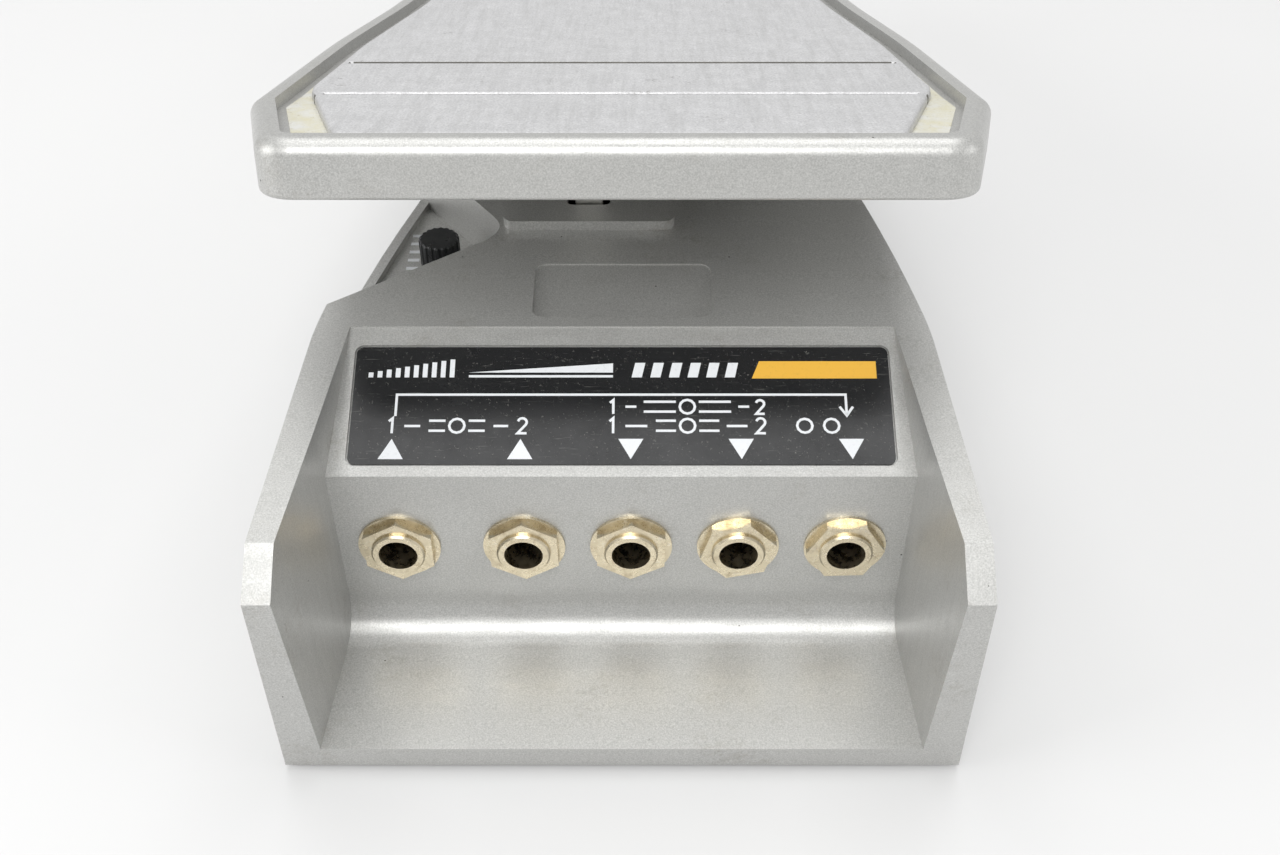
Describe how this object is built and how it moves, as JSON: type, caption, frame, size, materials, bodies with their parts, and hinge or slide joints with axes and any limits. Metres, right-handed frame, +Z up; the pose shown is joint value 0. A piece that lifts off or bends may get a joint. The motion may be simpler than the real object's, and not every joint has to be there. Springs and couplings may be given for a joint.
{
  "type": "volume pedal",
  "caption": "Foot-operated volume pedal: rocking treadle on a cast housing, turning a potentiometer through a toothed sector, with a row of panel jacks at the toe end.",
  "frame": {"origin": "on the floor under the middle of the pedal's bounding box", "axes": "+Z up, -Y towards the toe end with the jacks, +X to the right seen from the toe end looking along +Y"},
  "size_m": [0.1164, 0.2776, 0.0972],
  "materials": {
    "silver_paint": "satin metallic",
    "zinc_plate": "satin",
    "screw_steel": "machined",
    "rubber": "matte",
    "pad_rubber": "satin, silver coated",
    "label_print": "satin black print",
    "scale_print": "printed",
    "board": "lacquered",
    "jack_plastic": "moulded",
    "aged_nickel": "tarnished",
    "contact_brass": "bright",
    "pot_case": "satin",
    "acetal": "moulded",
    "knob_plastic": "satin"
  },
  "bodies": {
    "base": {"upper_housing": "silver_paint", "base_plate": "zinc_plate", "base_screws": "screw_steel", "foot_front_left": "rubber", "foot_front_right": "rubber", "foot_rear_left": "rubber", "foot_rear_right": "rubber", "label_plate": "label_print", "jack_board": "board", "jack_1_body": "jack_plastic", "jack_2_body": "jack_plastic", "jack_3_body": "jack_plastic", "jack_4_body": "jack_plastic", "jack_5_body": "jack_plastic", "jack_1_bushing": "aged_nickel", "jack_2_bushing": "aged_nickel", "jack_3_bushing": "aged_nickel", "jack_4_bushing": "aged_nickel", "jack_5_bushing": "aged_nickel", "jack_washers": "aged_nickel", "jack_nuts": "aged_nickel", "jack_contacts": "contact_brass", "pivot_shaft": "screw_steel", "shaft_clip_left": "zinc_plate", "shaft_clip_right": "zinc_plate", "pot_bracket": "zinc_plate", "bracket_screws": "screw_steel", "drive_pot_body": "pot_case", "drive_pot_nut": "zinc_plate", "trim_pot_body": "jack_plastic", "heel_bumper": "rubber", "knob_scale": "scale_print"},
    "treadle": {"treadle": "silver_paint", "pivot_bush_left": "acetal", "pivot_bush_right": "acetal", "tread_pad": "pad_rubber", "sector_rack": "acetal", "sector_screws": "screw_steel", "toe_bumper": "rubber"},
    "pot_rotor": {"drive_pot_shaft": "screw_steel", "pinion": "acetal"},
    "knob": {"trim_knob": "knob_plastic", "trim_pot_shaft": "screw_steel"}
  },
  "joints": [
    {"name": "treadle_rock", "type": "hinge", "parent": "base", "child": "treadle", "pos_m": [0, 0.026, 0.047], "axis": [1, 0, 0], "range_deg": [0, 14]},
    {"name": "pot_turn", "type": "hinge", "parent": "base", "child": "pot_rotor", "pos_m": [0, -0.05243, 0.03], "axis": [1, 0, 0], "range_deg": [-201, 1]},
    {"name": "trim_turn", "type": "hinge", "parent": "base", "child": "knob", "pos_m": [-0.0343, -0.055, 0.045], "axis": [0, 0, 1], "range_deg": [-140, 140]}
  ],
  "couplings": [
    {"joint": "pot_turn", "follows": "treadle_rock", "ratio": -14.286}
  ]
}
